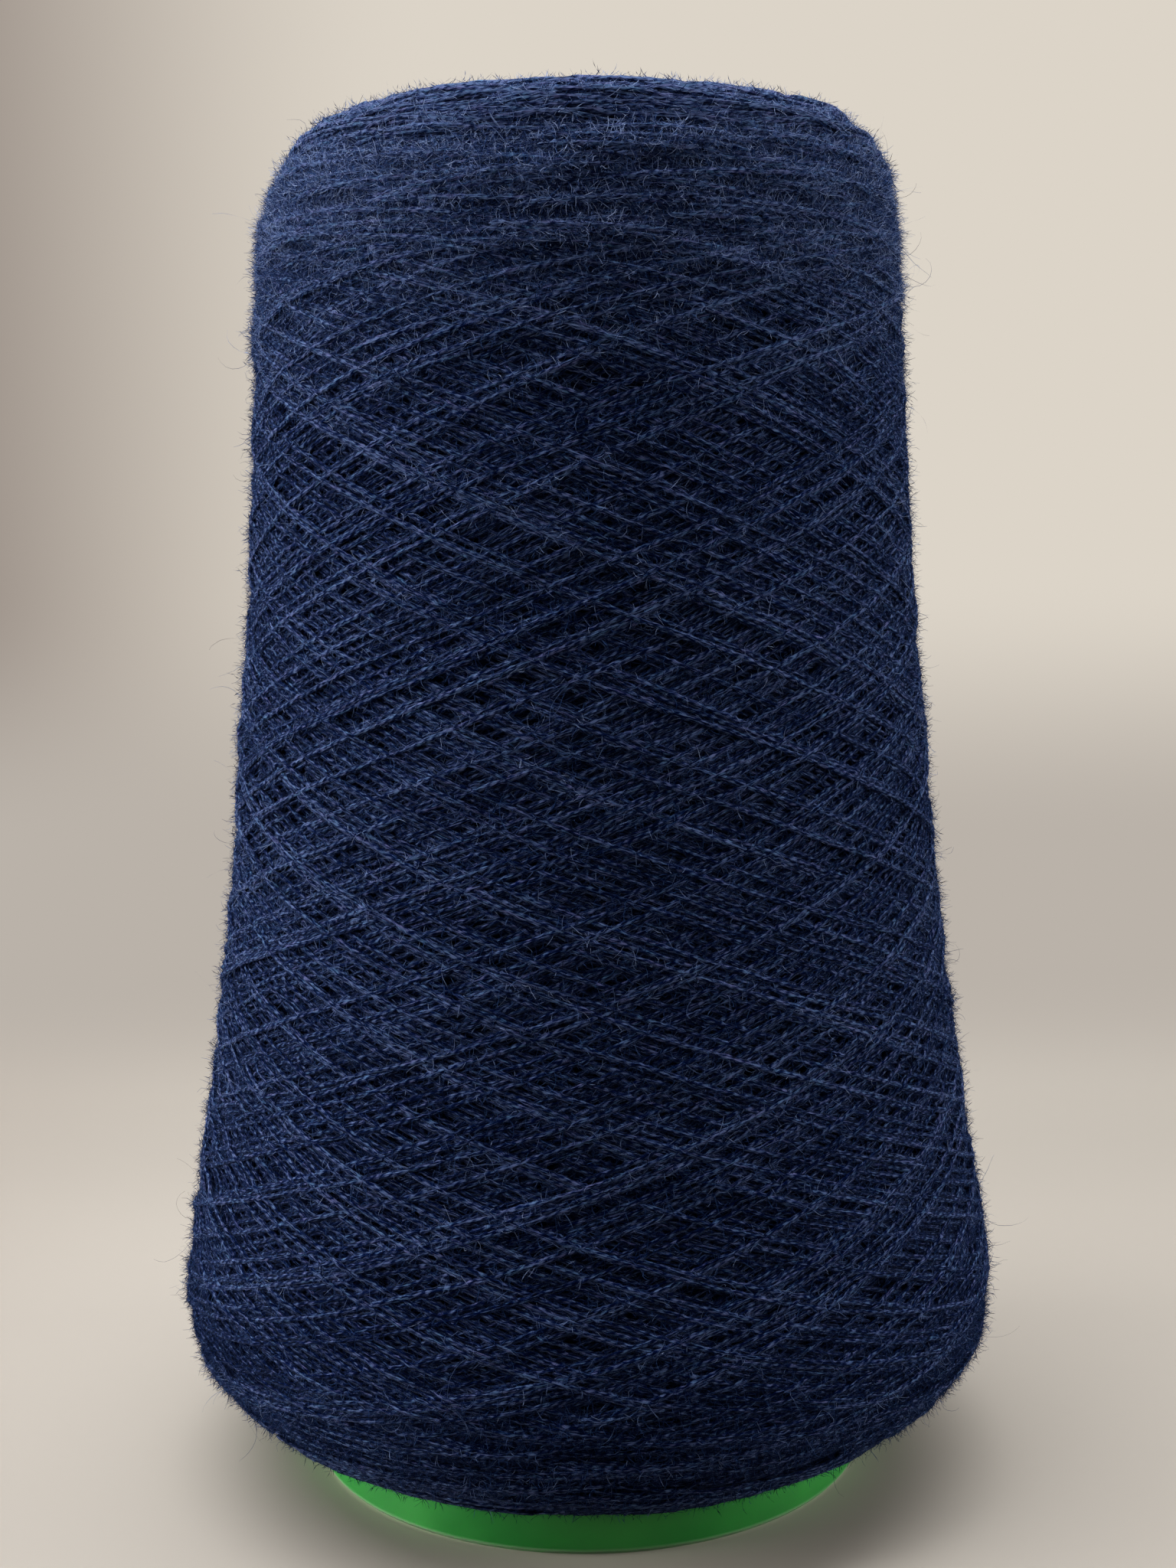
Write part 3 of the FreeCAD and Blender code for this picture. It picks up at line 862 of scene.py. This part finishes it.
# Floor and backdrop, one sweep of matt paper, in metres. Behind the cone and far from it, the
# paper glows to the camera in a graded colour, painted light and shade; round the cone it is lit,
# with painted shade on the floor.
stage = {
    "width": 3.0,
    "front": -1.6,
    "joints": (-0.6, -0.1),    # where the flat floor is divided
    "turnUp": 0.15,            # where it starts to turn up into the wall
    "bend": 0.09,
    "bendSteps": 14,
    "top": 1.4,
    "roughness": 0.9,
    "specular": 0.2,
    "floorFront": "#CBC4BB",
    # painted shade: the floor darker towards the back, and a painted shadow on the left
    "paintedFloorShadeBack": "#B2ACA4",
    "paintedFloorShadowLeft": "#A8A098",
    "floorBounce": "#77736D",  # what it throws back on the yarn, as if a dark cloth lay in front
    "wall": "#DCD4C8",
    # painted shade on the backdrop glow: darker on the left and low down
    "paintedWallShadeLeft": "#847770",
    "paintedWallShadeLow": "#BAB2A9",
    # Soft changes of colour, painted shade on the floor and painted light and shade on the
    # backdrop: along which way, from where and to where.
    "changes": {
        "paintedFloorShadeBack": ("Y", -0.01, 0.13),
        "paintedFloorShadowFade": ("X", -0.16, -0.05),
        "paintedWallShadeFade": ("X", -0.19, -0.03),
        "paintedWallLowFade": ("Z", 0.04, 0.10),
        "far": ("distance", 0.35, 0.80),
        "behind": ("Y", 0.150, 0.200),
        "outer": ("distance", 0.26, 0.50),
    },
}


def directRays(tree):
    # Light path node, and a socket that is 1 for what the camera sees itself, in a gloss or
    # through a clear wall.
    rays = addNode(tree, "ShaderNodeLightPath")
    direct = rays.outputs["Is Camera Ray"]
    for name in ("Is Glossy Ray", "Is Transmission Ray"):
        node = addNode(
            tree, "ShaderNodeMath", {"operation": "MAXIMUM"}, {0: direct, 1: rays.outputs[name]},
        )
        direct = node.outputs["Value"]
    return rays, direct


def paperMaterial():
    material, tree = newMaterial("matt paper, pale warm grey")
    place = addNode(tree, "ShaderNodeTexCoord").outputs["Object"]
    at = addNode(tree, "ShaderNodeSeparateXYZ", {}, {"Vector": place})
    distance = addNode(tree, "ShaderNodeVectorMath", {"operation": "LENGTH"}, {0: place})
    ways = {"X": at.outputs["X"], "Y": at.outputs["Y"], "Z": at.outputs["Z"],
            "distance": distance.outputs["Value"]}
    change = {
        name: addNode(
            tree, "ShaderNodeMapRange",
            {"interpolation_type": "SMOOTHSTEP", "From Min": low, "From Max": high},
            {"Value": ways[way]},
        ).outputs["Result"]
        for name, (way, low, high) in stage["changes"].items()
    }
    rays, direct = directRays(tree)
    # Floor colour with painted shade: darker towards the back and on the left.
    floor = addNode(
        tree, "ShaderNodeMix",
        {"data_type": "RGBA", 6: linearColour(stage["floorFront"]),
         7: linearColour(stage["paintedFloorShadeBack"])},
        {0: change["paintedFloorShadeBack"]},
    )
    graded = addNode(
        tree, "ShaderNodeMix", {"data_type": "RGBA", 6: linearColour(stage["paintedFloorShadowLeft"])},
        {0: change["paintedFloorShadowFade"], 7: floor.outputs[2]},
    )
    seen = addNode(
        tree, "ShaderNodeMix", {"data_type": "RGBA", 6: linearColour(stage["floorBounce"])},
        {0: rays.outputs["Is Camera Ray"], 7: graded.outputs[2]},
    )
    paper = addNode(
        tree, "ShaderNodeBsdfPrincipled",
        {"Roughness": stage["roughness"], "Specular IOR Level": stage["specular"]},
        {"Base Color": seen.outputs[2]},
    )
    # Backdrop glow, painted light and shade: darker on the left and low down, plain far away from
    # the cone.
    upper = addNode(
        tree, "ShaderNodeMix",
        {"data_type": "RGBA", 6: linearColour(stage["paintedWallShadeLeft"]), 7: linearColour(stage["wall"])},
        {0: change["paintedWallShadeFade"]},
    )
    near = addNode(
        tree, "ShaderNodeMix", {"data_type": "RGBA", 6: linearColour(stage["paintedWallShadeLow"])},
        {0: change["paintedWallLowFade"], 7: upper.outputs[2]},
    )
    shade = addNode(
        tree, "ShaderNodeMix", {"data_type": "RGBA", 7: linearColour(stage["wall"])},
        {0: change["far"], 6: near.outputs[2]},
    )
    paintedBackdropLight = addNode(tree, "ShaderNodeEmission", {"Strength": 1.0}, {"Color": shade.outputs[2]})
    away = addNode(
        tree, "ShaderNodeMath", {"operation": "MAXIMUM"}, {0: change["behind"], 1: change["outer"]},
    )
    share = addNode(
        tree, "ShaderNodeMath", {"operation": "MULTIPLY"}, {0: direct, 1: away.outputs["Value"]},
    )
    surface = addNode(
        tree, "ShaderNodeMixShader", {},
        {0: share.outputs["Value"], 1: paper.outputs["BSDF"], 2: paintedBackdropLight.outputs["Emission"]},
    )
    # From behind the sweep is clear, so that it hides nothing.
    side = addNode(tree, "ShaderNodeNewGeometry")
    clear = addNode(tree, "ShaderNodeBsdfTransparent")
    oneSided = addNode(
        tree, "ShaderNodeMixShader", {},
        {0: side.outputs["Backfacing"], 1: surface.outputs["Shader"], 2: clear.outputs["BSDF"]},
    )
    addNode(tree, "ShaderNodeOutputMaterial", {}, {"Surface": oneSided.outputs["Shader"]})
    return material


def makeStage():
    line = [(stage["front"], 0.0)] + [(joint, 0.0) for joint in stage["joints"]]
    turnUp, bend, steps = stage["turnUp"], stage["bend"], stage["bendSteps"]
    for i in range(steps + 1):
        angle = math.pi / 2 * i / steps
        line.append((turnUp + bend * math.sin(angle), bend * (1 - math.cos(angle))))
    line.append((turnUp + bend, stage["top"]))
    half = stage["width"] / 2
    points = [(x, y, z) for y, z in line for x in (-half, half)]
    quads = [(2 * i, 2 * i + 1, 2 * i + 3, 2 * i + 2) for i in range(len(line) - 1)]
    mesh = bpy.data.meshes.new("stage_sweep")
    mesh.from_pydata(points, [], quads)
    mesh.shade_smooth()
    mesh.materials.append(paperMaterial())
    sweep = bpy.data.objects.new("stage_sweep", mesh)
    bpy.context.scene.collection.objects.link(sweep)


makeStage()

# Soft lamps, in metres and watts: a strong one low on the left, a weaker one on the right and
# a weak one above. They hang far off at the sides, so that the light is even down the package.
lamps = {
    "light_left": {"at": (-1.30, 0.20, 0.24), "towards": (0, 0, 0.08), "size": (1.3, 0.44),
                   "power": 33.0, "colour": "#FFFAF4"},
    "light_right": {"at": (1.35, 0.13, 0.38), "towards": (0, 0, 0.08), "size": (1.2, 0.5),
                    "power": 15.5, "colour": "#FFFBF6"},
    "light_top": {"at": (-0.03, 0.06, 0.50), "towards": (0, 0, 0.1), "size": (0.9, 0.5),
                  "power": 5.0, "colour": "#FFFFFF"},
}
for name, values in lamps.items():
    lamp = bpy.data.lights.new(name, "AREA")
    lamp.shape = "RECTANGLE"
    lamp.size, lamp.size_y = values["size"]
    lamp.energy = values["power"]
    lamp.color = linearColour(values["colour"])[:3]
    holder = bpy.data.objects.new(name, lamp)
    aim = (Vector(values["towards"]) - Vector(values["at"])).to_track_quat("-Z", "Y")
    holder.matrix_world = Matrix.Translation(values["at"]) @ aim.to_matrix().to_4x4()
    holder.visible_camera = False
    bpy.context.scene.collection.objects.link(holder)

room = {"colour": "#F2F2F4", "strength": 0.08}


def makeWorld():
    # Weak even light from the room, and the backdrop's colour where a ray goes past the paper.
    world = bpy.data.worlds.new("studio")
    bpy.context.scene.world = world
    world.use_nodes = True
    tree = world.node_tree
    tree.nodes.clear()
    direct = directRays(tree)[1]
    lit = addNode(
        tree, "ShaderNodeBackground",
        {"Color": linearColour(room["colour"]), "Strength": room["strength"]},
    )
    pale = addNode(
        tree, "ShaderNodeBackground", {"Color": linearColour(stage["wall"]), "Strength": 1.0},
    )
    mixed = addNode(
        tree, "ShaderNodeMixShader", {},
        {0: direct, 1: lit.outputs["Background"], 2: pale.outputs["Background"]},
    )
    addNode(tree, "ShaderNodeOutputWorld", {}, {"Surface": mixed.outputs["Shader"]})


makeWorld()

# The photograph's view, from close by and a little above, with the head tilted slightly.
view = {"at": (0.0006, -0.267, 0.120), "down": 7.69, "tilt": -0.6, "lens": 49.75}
camera = bpy.data.cameras.new("camera")
camera.lens = view["lens"]
camera.sensor_width = 36.0
camera.clip_start = 0.01
cameraHolder = bpy.data.objects.new("camera", camera)
cameraHolder.matrix_world = (
    Matrix.Translation(view["at"])
    @ Matrix.Rotation(math.radians(90 - view["down"]), 4, "X")
    @ Matrix.Rotation(math.radians(view["tilt"]), 4, "Z")
)
bpy.context.scene.collection.objects.link(cameraHolder)
bpy.context.scene.camera = cameraHolder
bpy.context.scene.view_settings.view_transform = "Standard"

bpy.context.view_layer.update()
report("scene ready")
